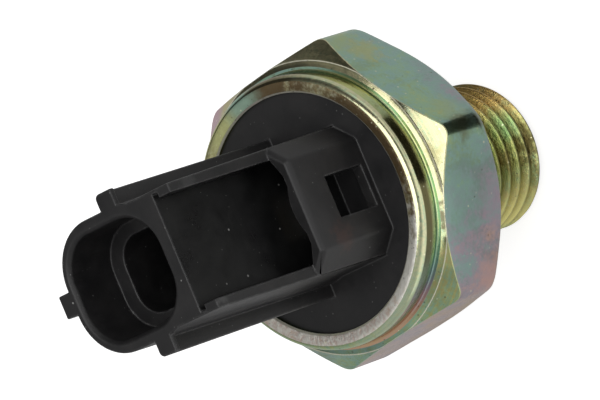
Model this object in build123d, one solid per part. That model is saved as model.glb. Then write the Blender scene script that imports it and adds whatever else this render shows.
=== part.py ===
from build123d import *
import os
from math import cos, radians, tan

# Oil pressure sender: a plated steel hexagon with a threaded stem and a black connector crimped into it.
# Millimetres. +Z runs from the thread to the mouth of the connector, the latch side faces -Y.
# The origin is the middle of the hexagon's seat face, from which the threaded stem goes down.

# Steel body, outside
HEX_ACROSS_FLATS = 26.7
HEX_TURN = 6.8
HEX_HEIGHT = 8.85
HEX_CORNER = 1.5
SEAT_RADIUS = 13.0
SEAT_CONE = 42.0
SEAT_INNER_RADIUS = 7.5
SEAT_RECESS = 0.3
TOP_FACE_RADIUS = 13.25
TOP_CONE = 38.0
COLLAR_RADIUS = 12.6
RIM_TOP = 11.3
RIM_WALL = 0.9
RIM_SHOULDER = 0.75
LIP_RADIUS = 11.0
LIP_THICKNESS = 0.65
LIP_FALL = 0.15
LIP_EDGE = 0.12

# Threaded stem
THREAD_RADIUS = 7.0
THREAD_LENGTH = 15.5
THREAD_CHAMFER = 0.95
RELIEF_DEPTH = 1.1
RELIEF_WIDTH = 1.8
PORT_RADIUS = 2.0
PORT_MOUTH = 0.5

# Pressure side: chamber, seal and diaphragm
FLOOR_HEIGHT = 2.4
CHAMBER_RADIUS = 5.5
CHAMBER_DEPTH = 0.8
SEAL_RADIUS = 7.8
SEAL_WIDTH = 1.6
SEAL_DEPTH = 1.0
FILM_RADIUS = 10.8
FILM_THICKNESS = 0.2
FILM_EDGE_GAP = 0.1

# Switch side: contact ring, plunger, contact plate and spring
RING_WEB = 1.2
RING_HEIGHT = 2.8
RING_POCKET = 5.6
CONTACT_INNER = 3.4
CONTACT_OUTER = 4.5
CONTACT_RISE = 0.4
PLUNGER_RADIUS = 2.5
PLUNGER_GAP = 0.1
PLUNGER_FIT = 0.05
PLATE_RADIUS = 4.8
PLATE_THICKNESS = 0.5
BOSS_RADIUS = 1.6
BOSS_RISE = 0.5
SPRING_RADIUS = 2.2
SPRING_WIRE = 0.5
SPRING_TURNS = 3.5
SPRING_LENGTH = 3.6

# Connector housing, base
BORE_CLEARANCE = 0.1
BASE_CAVITY = 6.2
GROOVE_HEIGHT = 1.7
GROOVE_DEPTH = 1.5
GROOVE_RISE = 0.9
BASE_SEAL_CLEARANCE = 0.05

# Connector housing, socket
MOUTH_HEIGHT = 34.3
SOCKET_OFFSET = 3.1
SOCKET_X = 9.84
SOCKET_Y = 10.96
SOCKET_CORNER = 3.69
SOCKET_DEPTH = 5.65
SOCKET_LEAD = 0.35
SIDE_WALL = 1.2
BACK_WALL = 0.82
LEDGE_X = 1.3
LEDGE_Y = 1.55
WELL_FLOOR = 1.4
DRAFT = 0.42
TUBE_DRAFT = 0.3

# Connector housing, latch channel and bridge
CHANNEL_FLOOR_WALL = 1.6
CHANNEL_WIDTH = 9.9
CHANNEL_UNDERCUT = 0.5
UNDERCUT_HEIGHT = 0.6
CHANNEL_DEPTH = 2.1
CHANNEL_WALL = 0.88
BRIDGE_RISE = 1.84
BRIDGE_FACE = 8.6
BRIDGE_LENGTH = 10.0
BRIDGE_THICKNESS = 1.1
BRIDGE_ROUND = 0.6
BRIDGE_LEAD = 0.4
NOSE_DROP = 0.5
NOSE_WIDTH = 4.4
NOSE_LENGTH = 1.2
WINDOW_WIDTH = 3.85
WINDOW_LENGTH = 5.2
WINDOW_STRIP = 0.75

# Connector housing, side rails, front lugs and key
RAIL_REACH = 1.5
RAIL_THICKNESS = 1.0
RAIL_Y = 1.8
LUG_RISE = 1.0
LUG_LENGTH = 0.6
LUG_ROUND = 0.5
KEY_WIDTH = 2.15
KEY_RISE = 1.3
KEY_LENGTH = 14.0

# Terminal
BLADE_WIDTH = 2.8
BLADE_THICKNESS = 0.8
BLADE_BELOW_MOUTH = 7.8
BLADE_POINT = 0.25
PAD_RADIUS = 2.9
PAD_THICKNESS = 0.8

# Heights and radii that follow from the sizes above
HEX_HALF_SIDE = 30.0
BORE_RADIUS = COLLAR_RADIUS - RIM_WALL
BASE_TOP = RIM_TOP - LIP_THICKNESS
FILM_TOP = FLOOR_HEIGHT + FILM_THICKNESS
RING_TOP = FILM_TOP + RING_HEIGHT
CONTACT_TOP = FILM_TOP + RING_WEB + CONTACT_RISE
PLATE_TOP = CONTACT_TOP + PLATE_THICKNESS
PAD_BOTTOM = PLATE_TOP + SPRING_LENGTH
CAVITY_ROOF = PAD_BOTTOM + PAD_THICKNESS
BASE_RADIUS = BORE_RADIUS - BORE_CLEARANCE
SOCKET_FLOOR = MOUTH_HEIGHT - SOCKET_DEPTH
WELL_BOTTOM = BASE_TOP + WELL_FLOOR
WELL_X = SOCKET_X - 2 * LEDGE_X
WELL_Y = SOCKET_Y - 2 * LEDGE_Y
CHANNEL_FLOOR = SOCKET_OFFSET - SOCKET_Y / 2 - CHANNEL_FLOOR_WALL
WALL_TOP = CHANNEL_FLOOR - CHANNEL_DEPTH
BRIDGE_TOP = WALL_TOP - BRIDGE_RISE
BRIDGE_FRONT = BASE_TOP + BRIDGE_LENGTH
HALF_WIDTH = CHANNEL_WIDTH / 2 + CHANNEL_WALL
CUT = 1.0


def revolved(points):
    """Solid of revolution about Z from a closed outline of (radius, height) points."""
    outline = Polyline([(radius, 0, height) for radius, height in points], close=True)
    return revolve(make_face(outline), Axis.Z)


def disc(radius, bottom, top):
    """Round disc or bar about Z."""
    return Pos(0, 0, bottom) * Cylinder(radius, top - bottom, align=(Align.CENTER, Align.CENTER, Align.MIN))


def block(width, front, back, bottom, top):
    """Box centred on X, from front to back along Y and from bottom to top along Z."""
    low = (Align.CENTER, Align.MIN, Align.MIN)
    return Pos(0, front, bottom) * Box(width, back - front, top - bottom, align=low)


def roundedBar(width, depth, corner, offset, bottom, top, spread=0.0):
    """Rounded rectangular bar along Z, wider by spread all round at its bottom."""
    wide = RectangleRounded(width + 2 * spread, depth + 2 * spread, corner + spread)
    narrow = RectangleRounded(width, depth, corner)
    return loft([Pos(0, offset, bottom) * wide, Pos(0, offset, top) * narrow])


def wedgeBar(halfWidth, front, back, bottom, top, spread):
    """Bar along Z with side walls that come closer together towards the mouth."""
    lower = Pos(0, (front + back) / 2, bottom) * Rectangle(2 * (halfWidth + spread), back - front)
    upper = Pos(0, (front + back) / 2, top) * Rectangle(2 * halfWidth, back - front)
    return loft([lower, upper])


def hexBody():
    """Hexagon, threaded stem with a recess round its root, and rolled rim, turned from one bar."""
    cornerRadius = HEX_ACROSS_FLATS / 2 / cos(radians(HEX_HALF_SIDE)) + CUT
    seatCorner = (cornerRadius - SEAT_RADIUS) * tan(radians(SEAT_CONE))
    topCorner = HEX_HEIGHT - (cornerRadius - TOP_FACE_RADIUS) * tan(radians(TOP_CONE))
    cones = revolved([
        (0, 0),
        (SEAT_RADIUS, 0),
        (cornerRadius, seatCorner),
        (cornerRadius, topCorner),
        (TOP_FACE_RADIUS, HEX_HEIGHT),
        (0, HEX_HEIGHT),
    ])
    hexagon = RegularPolygon(HEX_ACROSS_FLATS / 2, 6, major_radius=False)
    hexagon = Rot(0, 0, HEX_TURN + HEX_HALF_SIDE) * fillet(hexagon.vertices(), HEX_CORNER)
    flats = extrude(hexagon, HEX_HEIGHT)
    shoulder = min(RIM_SHOULDER, RIM_TOP - HEX_HEIGHT)
    collar = disc(COLLAR_RADIUS, HEX_HEIGHT - CUT, RIM_TOP)
    collar = fillet(collar.edges().group_by(Axis.Z)[-1], shoulder)
    head = (cones & flats) + collar - disc(SEAT_INNER_RADIUS, -CUT, SEAT_RECESS)
    relief = THREAD_RADIUS - RELIEF_DEPTH
    stem = revolved([
        (0, SEAT_RECESS + CUT),
        (relief, SEAT_RECESS + CUT),
        (relief, -RELIEF_WIDTH),
        (THREAD_RADIUS, -RELIEF_WIDTH - RELIEF_DEPTH),
        (THREAD_RADIUS, THREAD_CHAMFER - THREAD_LENGTH),
        (THREAD_RADIUS - THREAD_CHAMFER, -THREAD_LENGTH),
        (0, -THREAD_LENGTH),
    ])
    body = head + stem
    body -= disc(BORE_RADIUS, FLOOR_HEIGHT, BASE_TOP)
    lipTop = RIM_TOP - LIP_FALL
    body -= revolved([
        (0, BASE_TOP),
        (LIP_RADIUS, BASE_TOP),
        (LIP_RADIUS, lipTop - LIP_EDGE),
        (LIP_RADIUS + LIP_EDGE, lipTop),
        (COLLAR_RADIUS - shoulder, RIM_TOP),
        (COLLAR_RADIUS - shoulder, RIM_TOP + CUT),
        (0, RIM_TOP + CUT),
    ])
    body -= disc(CHAMBER_RADIUS, FLOOR_HEIGHT - CHAMBER_DEPTH, FLOOR_HEIGHT)
    body -= disc(PORT_RADIUS, -THREAD_LENGTH, FLOOR_HEIGHT)
    body -= revolved([
        (0, -THREAD_LENGTH - CUT),
        (PORT_RADIUS + PORT_MOUTH, -THREAD_LENGTH - CUT),
        (PORT_RADIUS + PORT_MOUTH, -THREAD_LENGTH),
        (PORT_RADIUS, PORT_MOUTH - THREAD_LENGTH),
        (0, PORT_MOUTH - THREAD_LENGTH),
    ])
    body -= sealRing()
    return body


def sealRing():
    """Rubber ring that fills the groove under the rim of the diaphragm."""
    inner = SEAL_RADIUS - SEAL_WIDTH / 2
    outer = SEAL_RADIUS + SEAL_WIDTH / 2
    bottom = FLOOR_HEIGHT - SEAL_DEPTH
    return disc(outer, bottom, FLOOR_HEIGHT) - disc(inner, bottom, FLOOR_HEIGHT)


def diaphragm():
    """Thin film that closes the pressure chamber."""
    return disc(FILM_RADIUS, FLOOR_HEIGHT, FILM_TOP)


def contactRing():
    """Steel ring that clamps the film, stands on the body round it and carries the fixed contact edge."""
    ring = disc(BASE_RADIUS, FLOOR_HEIGHT, RING_TOP)
    ring -= disc(FILM_RADIUS + FILM_EDGE_GAP, FLOOR_HEIGHT, FILM_TOP)
    ring -= disc(RING_POCKET, FILM_TOP + RING_WEB, RING_TOP)
    ring += disc(CONTACT_OUTER, FILM_TOP, CONTACT_TOP)
    ring -= disc(CONTACT_INNER, FILM_TOP + RING_WEB, CONTACT_TOP)
    ring -= disc(PLUNGER_RADIUS + PLUNGER_FIT, FILM_TOP, CONTACT_TOP)
    return ring


def plunger():
    """Insulating push pin between the film and the contact plate."""
    return disc(PLUNGER_RADIUS, FILM_TOP, CONTACT_TOP - PLUNGER_GAP)


def contactPlate():
    """Moving contact, with a boss that centres the spring."""
    plate = disc(PLATE_RADIUS, CONTACT_TOP, PLATE_TOP)
    return plate + disc(BOSS_RADIUS, PLATE_TOP, PLATE_TOP + BOSS_RISE)


def contactSpring():
    """Coil spring from the contact plate to the pad of the terminal."""
    height = SPRING_LENGTH - SPRING_WIRE
    path = Helix(height / SPRING_TURNS, height, SPRING_RADIUS)
    start = Plane(origin=path @ 0, z_dir=path % 0)
    wire = sweep(start * Circle(SPRING_WIRE / 2), path=path, is_frenet=True)
    return Pos(0, 0, PLATE_TOP + SPRING_WIRE / 2) * wire


def baseSeal():
    """Rubber ring in the groove round the housing's base."""
    section = GROOVE_DEPTH / 2 + BORE_CLEARANCE / 2 - BASE_SEAL_CLEARANCE
    middle = RING_TOP + GROOVE_RISE + GROOVE_HEIGHT / 2
    return Pos(0, 0, middle) * Torus(BASE_RADIUS - GROOVE_DEPTH + BASE_SEAL_CLEARANCE + section, section)


def terminal():
    """Stamped terminal: spring pad on the axis, foot under the roof, blade up into the well."""
    tip = MOUTH_HEIGHT - BLADE_BELOW_MOUTH
    front = SOCKET_OFFSET - BLADE_THICKNESS / 2
    back = SOCKET_OFFSET + BLADE_THICKNESS / 2
    blade = block(BLADE_WIDTH, front, back, PAD_BOTTOM, tip)
    blade = chamfer(blade.edges().group_by(Axis.Z)[-1], BLADE_POINT)
    foot = block(BLADE_WIDTH, 0, back, PAD_BOTTOM, CAVITY_ROOF)
    return blade + foot + disc(PAD_RADIUS, PAD_BOTTOM, CAVITY_ROOF)


def housingBase():
    """Round base under the rolled rim, with the switch cavity and the groove of the base seal."""
    base = disc(BASE_RADIUS, RING_TOP, BASE_TOP)
    base -= disc(BASE_CAVITY, RING_TOP, CAVITY_ROOF)
    bottom = RING_TOP + GROOVE_RISE
    groove = disc(BASE_RADIUS + CUT, bottom, bottom + GROOVE_HEIGHT)
    groove -= disc(BASE_RADIUS - GROOVE_DEPTH, bottom, bottom + GROOVE_HEIGHT)
    return base - groove


def socketTube():
    """Oval tube and the block that carries the channel, both with draft towards the mouth."""
    back = SOCKET_OFFSET + SOCKET_Y / 2 + BACK_WALL
    front = CHANNEL_FLOOR
    middle = (front + back) / 2
    width = SOCKET_X + 2 * SIDE_WALL
    corner = SOCKET_CORNER + SIDE_WALL
    tube = roundedBar(width, back - front, corner, middle, BASE_TOP - CUT, MOUTH_HEIGHT, TUBE_DRAFT)
    return tube + wedgeBar(HALF_WIDTH, WALL_TOP, SOCKET_OFFSET, BASE_TOP - CUT, MOUTH_HEIGHT, DRAFT)


def bridge():
    """Latch bridge across the channel, with chamfered shoulders."""
    foot = HALF_WIDTH + DRAFT * (MOUTH_HEIGHT - BRIDGE_FRONT) / (MOUTH_HEIGHT - BASE_TOP)
    outline = Polyline([
        (-foot, WALL_TOP),
        (-BRIDGE_FACE / 2, BRIDGE_TOP),
        (BRIDGE_FACE / 2, BRIDGE_TOP),
        (foot, WALL_TOP),
    ], close=True)
    section = make_face(outline)
    outer = section.vertices().group_by(Axis.Y)[0]
    section = fillet(outer, BRIDGE_ROUND)
    solid = Pos(0, 0, BASE_TOP - CUT) * extrude(section, BRIDGE_LENGTH + CUT)
    front = solid.edges().group_by(Axis.Z)[-1].sort_by(Axis.Y)[0]
    return chamfer(front, BRIDGE_LEAD)


def channelCut():
    """Space of the latch channel: open at the mouth, undercut at its floor, roofed by the bridge."""
    top = MOUTH_HEIGHT + CUT
    space = block(CHANNEL_WIDTH, WALL_TOP - CUT, CHANNEL_FLOOR, BRIDGE_FRONT, top)
    wide = CHANNEL_WIDTH + 2 * CHANNEL_UNDERCUT
    space += block(wide, CHANNEL_FLOOR - UNDERCUT_HEIGHT, CHANNEL_FLOOR, BASE_TOP, top)
    under = BRIDGE_TOP + BRIDGE_THICKNESS
    narrow = BRIDGE_FACE - 2 * BRIDGE_THICKNESS
    outline = Polyline([
        (-CHANNEL_WIDTH / 2, CHANNEL_FLOOR),
        (-CHANNEL_WIDTH / 2, WALL_TOP),
        (-narrow / 2, under),
        (narrow / 2, under),
        (CHANNEL_WIDTH / 2, WALL_TOP),
        (CHANNEL_WIDTH / 2, CHANNEL_FLOOR),
    ], close=True)
    space += Pos(0, 0, BASE_TOP) * extrude(make_face(outline), BRIDGE_LENGTH + CUT)
    return space


def nose():
    """Rounded nose that hangs under the bridge's front edge."""
    under = BRIDGE_TOP + BRIDGE_THICKNESS
    chord = NOSE_WIDTH / 2
    radius = (chord ** 2 + NOSE_DROP ** 2) / (2 * NOSE_DROP)
    back = BRIDGE_FRONT - NOSE_LENGTH
    drum = Pos(0, under + NOSE_DROP - radius, 0) * disc(radius, back, BRIDGE_FRONT)
    return drum & block(NOSE_WIDTH, under - BRIDGE_THICKNESS / 4, under + NOSE_DROP, back, BRIDGE_FRONT)


def rails():
    """Two side rails with front lugs, and the key on the back of the tube."""
    front = RAIL_Y - RAIL_THICKNESS / 2
    back = RAIL_Y + RAIL_THICKNESS / 2
    reach = 2 * (SOCKET_X / 2 + SIDE_WALL + RAIL_REACH)
    rail = block(reach, front, back, BASE_TOP - CUT, MOUTH_HEIGHT)
    rail += block(reach, front - LUG_RISE, back, MOUTH_HEIGHT - LUG_LENGTH, MOUTH_HEIGHT)
    rail = fillet(rail.edges().filter_by(Axis.Z).group_by(Axis.Y)[-1], LUG_ROUND)
    tubeBack = SOCKET_OFFSET + SOCKET_Y / 2
    keyTop = tubeBack + BACK_WALL + KEY_RISE
    key = block(KEY_WIDTH, tubeBack, keyTop, MOUTH_HEIGHT - KEY_LENGTH, MOUTH_HEIGHT)
    return rail + key


def connectorHousing():
    """One black moulding: round base, socket, latch channel with its bridge, rails, lugs and key."""
    housing = housingBase() + socketTube() + bridge() + rails()
    housing -= channelCut()
    housing += nose()
    windowBottom = BASE_TOP + WINDOW_STRIP
    housing -= block(WINDOW_WIDTH, BRIDGE_TOP - CUT, WALL_TOP, windowBottom, windowBottom + WINDOW_LENGTH)
    housing -= roundedBar(SOCKET_X, SOCKET_Y, SOCKET_CORNER, SOCKET_OFFSET, SOCKET_FLOOR, MOUTH_HEIGHT)
    lead = MOUTH_HEIGHT - SOCKET_LEAD
    housing -= roundedBar(SOCKET_X, SOCKET_Y, SOCKET_CORNER, SOCKET_OFFSET, MOUTH_HEIGHT, lead, SOCKET_LEAD)
    wellCorner = SOCKET_CORNER - LEDGE_X
    housing -= roundedBar(WELL_X, WELL_Y, wellCorner, SOCKET_OFFSET, WELL_BOTTOM, SOCKET_FLOOR)
    front = SOCKET_OFFSET - BLADE_THICKNESS / 2
    back = SOCKET_OFFSET + BLADE_THICKNESS / 2
    housing -= block(BLADE_WIDTH, front, back, CAVITY_ROOF, WELL_BOTTOM)
    return housing


nodes = {
    "hex_body": hexBody(),
    "connector_housing": connectorHousing(),
    "terminal_blade": terminal(),
    "contact_spring": contactSpring(),
    "contact_plate": contactPlate(),
    "plunger": plunger(),
    "contact_ring": contactRing(),
    "diaphragm": diaphragm(),
    "diaphragm_seal": sealRing(),
    "base_seal": baseSeal(),
}

os.makedirs("parts", exist_ok=True)
for name, solid in nodes.items():
    export_step(solid, f"parts/{name}.step")
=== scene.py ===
# Oil pressure sender: yellow zinc plated hexagon with a threaded stem, black connector crimped into its rim,
# and the pressure switch inside. The scene is in metres; the dictionaries give millimetres and degrees.
import bpy
import bmesh
from math import atan, cos, degrees, pi, radians, sin, sqrt, tan
from mathutils import Matrix, Vector


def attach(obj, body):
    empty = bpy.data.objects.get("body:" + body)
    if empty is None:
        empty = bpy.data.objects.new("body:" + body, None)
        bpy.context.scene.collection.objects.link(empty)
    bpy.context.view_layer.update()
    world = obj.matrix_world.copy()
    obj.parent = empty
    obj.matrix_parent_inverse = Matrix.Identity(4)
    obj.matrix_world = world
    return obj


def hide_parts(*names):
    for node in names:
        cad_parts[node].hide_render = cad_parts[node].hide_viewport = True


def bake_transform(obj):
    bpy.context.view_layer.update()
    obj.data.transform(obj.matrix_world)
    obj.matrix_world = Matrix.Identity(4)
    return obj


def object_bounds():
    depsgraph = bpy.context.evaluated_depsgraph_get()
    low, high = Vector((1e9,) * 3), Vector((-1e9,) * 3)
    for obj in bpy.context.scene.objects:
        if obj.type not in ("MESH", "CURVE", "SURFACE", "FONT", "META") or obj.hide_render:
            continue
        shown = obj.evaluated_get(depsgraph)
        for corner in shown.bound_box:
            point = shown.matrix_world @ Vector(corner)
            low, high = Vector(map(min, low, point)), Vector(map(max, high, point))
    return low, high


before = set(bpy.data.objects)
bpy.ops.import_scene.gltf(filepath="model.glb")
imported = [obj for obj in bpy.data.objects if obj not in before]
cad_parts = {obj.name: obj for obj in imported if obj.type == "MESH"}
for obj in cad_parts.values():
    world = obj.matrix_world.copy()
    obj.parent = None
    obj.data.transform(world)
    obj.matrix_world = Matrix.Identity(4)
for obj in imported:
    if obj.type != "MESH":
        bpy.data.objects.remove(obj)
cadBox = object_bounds()
mm = 0.001
print("frame loaded")


# Camera: the photograph's viewing angle, with the picture's middle beside and below the origin
shot = {
    "azimuth": -5.63, "elevation": 50.64, "roll": -108.48,
    "distance": 555.9, "target": (0.0, 0.0, 0.3),
    "middle": (-7.43, -0.95),
    "lens": 368.05, "sensor": 36.0,
    "clip": (0.02, 20),  # metres
}


def shotAxes():
    az, el, roll = (radians(shot[k]) for k in ("azimuth", "elevation", "roll"))
    back = Vector((cos(el) * sin(az), -cos(el) * cos(az), sin(el)))
    level = Vector((cos(az), sin(az), 0))
    over = back.cross(level)
    right = level * cos(roll) + over * sin(roll)
    up = over * cos(roll) - level * sin(roll)
    return right, up, back


def placeCamera():
    right, up, back = shotAxes()
    target = Vector(shot["target"]) * mm
    place = target + back * shot["distance"] * mm
    middle = target + right * shot["middle"][0] * mm + up * shot["middle"][1] * mm
    z = (place - middle).normalized()
    x = (right - z * right.dot(z)).normalized()
    y = z.cross(x)
    lens = bpy.data.cameras.new("camera")
    lens.lens = shot["lens"]
    lens.sensor_width = shot["sensor"]
    lens.clip_start, lens.clip_end = shot["clip"]
    camera = bpy.data.objects.new("camera", lens)
    camera.matrix_world = Matrix.Translation(place) @ Matrix((x, y, z)).transposed().to_4x4()
    bpy.context.collection.objects.link(camera)
    bpy.context.scene.camera = camera


placeCamera()
print("camera placed")


# Node helpers
noiseSpan = (0.3, 0.7)  # where most of a noise's values lie


def feed(tree, socket, value):  # links a socket, or sets a plain value
    if isinstance(value, bpy.types.NodeSocket):
        tree.links.new(value, socket)
    else:
        socket.default_value = value


def addNode(tree, kind, inputs=None, **settings):
    node = tree.nodes.new(kind)
    for name, value in settings.items():
        setattr(node, name, value)
    for name, value in (inputs or {}).items():
        feed(tree, node.inputs[name], value)
    return node


def mathNode(tree, operation, a, b=0.0, c=0.0):
    node = addNode(tree, "ShaderNodeMath", operation=operation)
    for socket, value in zip(node.inputs, (a, b, c)):
        feed(tree, socket, value)
    return node.outputs[0]


def times(tree, a, b):
    return mathNode(tree, "MULTIPLY", a, b)


def vectorNode(tree, operation, a, b):
    return addNode(tree, "ShaderNodeVectorMath", {0: a, 1: b}, operation=operation).outputs


def axesOf(tree, vector):
    return addNode(tree, "ShaderNodeSeparateXYZ", {"Vector": vector}).outputs


def vectorOf(tree, x, y, z):
    return addNode(tree, "ShaderNodeCombineXYZ", {"X": x, "Y": y, "Z": z}).outputs[0]


def roundZ(tree, place):  # distance from the axis, direction round it and height
    xyz = axesOf(tree, place)
    squares = mathNode(tree, "ADD", times(tree, xyz["X"], xyz["X"]), times(tree, xyz["Y"], xyz["Y"]))
    return mathNode(tree, "SQRT", squares), mathNode(tree, "ARCTAN2", xyz["Y"], xyz["X"]), xyz["Z"]


def noiseOf(tree, place, scale, detail, roughness, distortion=0.0):
    return addNode(tree, "ShaderNodeTexNoise", {
        "Vector": place, "Scale": scale, "Detail": detail, "Roughness": roughness,
        "Distortion": distortion}).outputs["Fac"]


def mixColours(tree, factor, a, b, blend="MIX"):
    node = addNode(tree, "ShaderNodeMix", data_type="RGBA", blend_type=blend)
    for name, value in (("Factor_Float", factor), ("A_Color", a), ("B_Color", b)):
        feed(tree, next(s for s in node.inputs if s.identifier == name), value)
    return next(s for s in node.outputs if s.identifier == "Result_Color")


def spread(tree, value, low, high, outLow=0.0, outHigh=1.0, **settings):
    return addNode(tree, "ShaderNodeMapRange", {
        "Value": value, "From Min": low, "From Max": high, "To Min": outLow, "To Max": outHigh},
        **settings).outputs["Result"]


def rampOf(tree, value, stops):
    node = addNode(tree, "ShaderNodeValToRGB", {"Fac": value})
    ramp = node.color_ramp
    while len(ramp.elements) < len(stops):
        ramp.elements.new(0.5)
    for element, (place, colour) in zip(ramp.elements, stops):
        element.position = place
        element.color = (*colour, 1)
    return node.outputs["Color"]


def newGroup(name, inputs, outputs):
    tree = bpy.data.node_groups.new(name, "ShaderNodeTree")
    for socket, (kind, value) in inputs.items():
        made = tree.interface.new_socket(socket, in_out="INPUT", socket_type="NodeSocket" + kind)
        if value is not None:
            made.default_value = value
    for socket, kind in outputs.items():
        tree.interface.new_socket(socket, in_out="OUTPUT", socket_type="NodeSocket" + kind)
    return tree, tree.nodes.new("NodeGroupInput").outputs, tree.nodes.new("NodeGroupOutput").inputs


def useGroup(tree, group, **inputs):
    return addNode(tree, "ShaderNodeGroup", inputs, node_tree=group).outputs


# Shared effects
def newLines(name):
    return newGroup(name, {"Place": ("Vector", None), "Fineness": ("Float", 6.0)}, {"Height": "Float"})


def makeTurnedLines():  # fine rings left by the lathe, round Z
    tree, given, result = newLines("turnedLines")
    radius, turn, height = roundZ(tree, given["Place"])
    lines = vectorOf(tree, times(tree, radius, given["Fineness"]), times(tree, height, given["Fineness"]),
                     times(tree, turn, 1.2))
    tree.links.new(noiseOf(tree, lines, scale=1.0, detail=3.0, roughness=0.6), result["Height"])
    return tree


def makeDrawnLines():  # streaks along the bar from the drawing die
    tree, given, result = newLines("drawnLines")
    stretched = vectorNode(tree, "MULTIPLY", given["Place"], (1, 1, 0.04))[0]
    tree.links.new(noiseOf(tree, stretched, given["Fineness"], detail=4.0, roughness=0.65), result["Height"])
    return tree


def makeCrimpLines():  # short radial marks of the crimping die
    tree, given, result = newLines("crimpLines")
    radius, turn, height = roundZ(tree, given["Place"])
    lines = vectorOf(tree, times(tree, turn, times(tree, given["Fineness"], 11.0)), radius, height)
    tree.links.new(noiseOf(tree, lines, scale=1.0, detail=3.0, roughness=0.7), result["Height"])
    return tree


def makePlatingClouds():  # where the passivation film is thicker or thinner
    tree, given, result = newGroup(
        "platingClouds", {"Place": ("Vector", None), "Size": ("Float", 0.12), "Stretch": ("Float", 1.0)},
        {"Film": "Float", "Blush": "Float", "Mottle": "Float", "Blotch": "Float"})
    xyz = axesOf(tree, given["Place"])
    place = vectorOf(tree, xyz["X"], xyz["Y"], times(tree, xyz["Z"], given["Stretch"]))
    aside = vectorNode(tree, "ADD", place, (31, 17, 5))[0]
    clouds = {
        "Film": noiseOf(tree, place, given["Size"], detail=4.0, roughness=0.62, distortion=0.8),
        "Blush": noiseOf(tree, aside, given["Size"], detail=3.0, roughness=0.55, distortion=1.2),
        "Mottle": noiseOf(tree, given["Place"], scale=2.6, detail=5.0, roughness=0.7),
        "Blotch": noiseOf(tree, aside, scale=0.55, detail=3.0, roughness=0.6, distortion=0.5),
    }
    for name, value in clouds.items():
        tree.links.new(value, result[name])
    return tree


def makeSpecks():  # scattered small grains, for dust, pits and glints
    tree, given, result = newGroup(
        "specks", {"Place": ("Vector", None), "Density": ("Float", 1.0), "Grain": ("Float", 0.12),
                   "Share": ("Float", 0.3)}, {"Mask": "Float"})
    cells = addNode(tree, "ShaderNodeTexVoronoi", {
        "Vector": given["Place"], "Scale": given["Density"], "Randomness": 1.0}).outputs
    chance = addNode(tree, "ShaderNodeSeparateColor", {"Color": cells["Color"]}).outputs
    kept = mathNode(tree, "LESS_THAN", chance["Red"], given["Share"])
    size = times(tree, given["Grain"], mathNode(tree, "ADD", chance["Green"], 0.3))
    near = mathNode(tree, "DIVIDE", cells["Distance"], size)
    tree.links.new(times(tree, kept, spread(tree, near, 1.0, 0.6)), result["Mask"])
    return tree


def makeEdgeMask():  # 1 on convex and concave edges, 0 on open faces
    tree, given, result = newGroup("edgeMask", {"Reach": ("Float", 0.0003), "Gain": ("Float", 6.0)},
                                   {"Mask": "Float"})
    soft = addNode(tree, "ShaderNodeBevel", {"Radius": given["Reach"]}, samples=4).outputs[0]
    plain = addNode(tree, "ShaderNodeNewGeometry").outputs["Normal"]
    away = mathNode(tree, "SUBTRACT", 1.0, vectorNode(tree, "DOT_PRODUCT", soft, plain)["Value"])
    clamp = addNode(tree, "ShaderNodeClamp", {"Value": times(tree, away, given["Gain"])})
    tree.links.new(clamp.outputs[0], result["Mask"])
    return tree


def makeFilmTint():  # interference colours of the passivation film, thin to thick
    tree, given, result = newGroup("filmTint", {"Thickness": ("Float", 0.5)}, {"Color": "Color"})
    tint = rampOf(tree, given["Thickness"], [
        (0.00, (0.68, 0.67, 0.46)), (0.12, (0.58, 0.53, 0.28)), (0.25, (0.64, 0.42, 0.24)),
        (0.36, (0.60, 0.42, 0.38)), (0.47, (0.44, 0.38, 0.43)), (0.57, (0.34, 0.45, 0.43)),
        (0.68, (0.32, 0.50, 0.43)), (0.80, (0.36, 0.53, 0.33)), (0.91, (0.52, 0.57, 0.25)),
        (1.00, (0.64, 0.57, 0.26))])
    tree.links.new(tint, result["Color"])
    return tree


def makeDrift():  # 0 to 1 across the object along one direction in the seat plane
    tree, given, result = newGroup("drift", {"Place": ("Vector", None), "From": ("Float", -10.0),
                                             "To": ("Float", 10.0)}, {"Share": "Float"})
    along = vectorNode(tree, "DOT_PRODUCT", given["Place"], (-0.92, 0.39, 0.0))["Value"]
    share = spread(tree, along, given["From"], given["To"], interpolation_type="SMOOTHSTEP")
    tree.links.new(share, result["Share"])
    return tree


def makePatch():  # one frayed patch round a place, 1 in its middle
    tree, given, result = newGroup("patch", {"Place": ("Vector", None), "Middle": ("Vector", None),
                                             "Reach": ("Float", 2.0), "Fray": ("Float", 0.6)}, {"Mask": "Float"})
    away = vectorNode(tree, "DISTANCE", given["Place"], given["Middle"])["Value"]
    noise = noiseOf(tree, given["Place"], scale=1.1, detail=5.0, roughness=0.65)
    fray = times(tree, mathNode(tree, "SUBTRACT", noise, 0.5), times(tree, given["Fray"], 3.0))
    share = mathNode(tree, "ADD", mathNode(tree, "DIVIDE", away, given["Reach"]), fray)
    tree.links.new(spread(tree, share, 1.0, 0.2, interpolation_type="SMOOTHSTEP"), result["Mask"])
    return tree


turnedLines = makeTurnedLines()
drawnLines = makeDrawnLines()
crimpLines = makeCrimpLines()
platingClouds = makePlatingClouds()
specks = makeSpecks()
edgeMask = makeEdgeMask()
filmTint = makeFilmTint()
drift = makeDrift()
patch = makePatch()


# Materials
def emptyMaterial(name):
    material = bpy.data.materials.new(name)
    material.use_nodes = True
    material.node_tree.nodes.clear()
    return material, material.node_tree


def endMaterial(tree, shader):
    tree.links.new(shader.outputs[0], addNode(tree, "ShaderNodeOutputMaterial").inputs[0])


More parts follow.
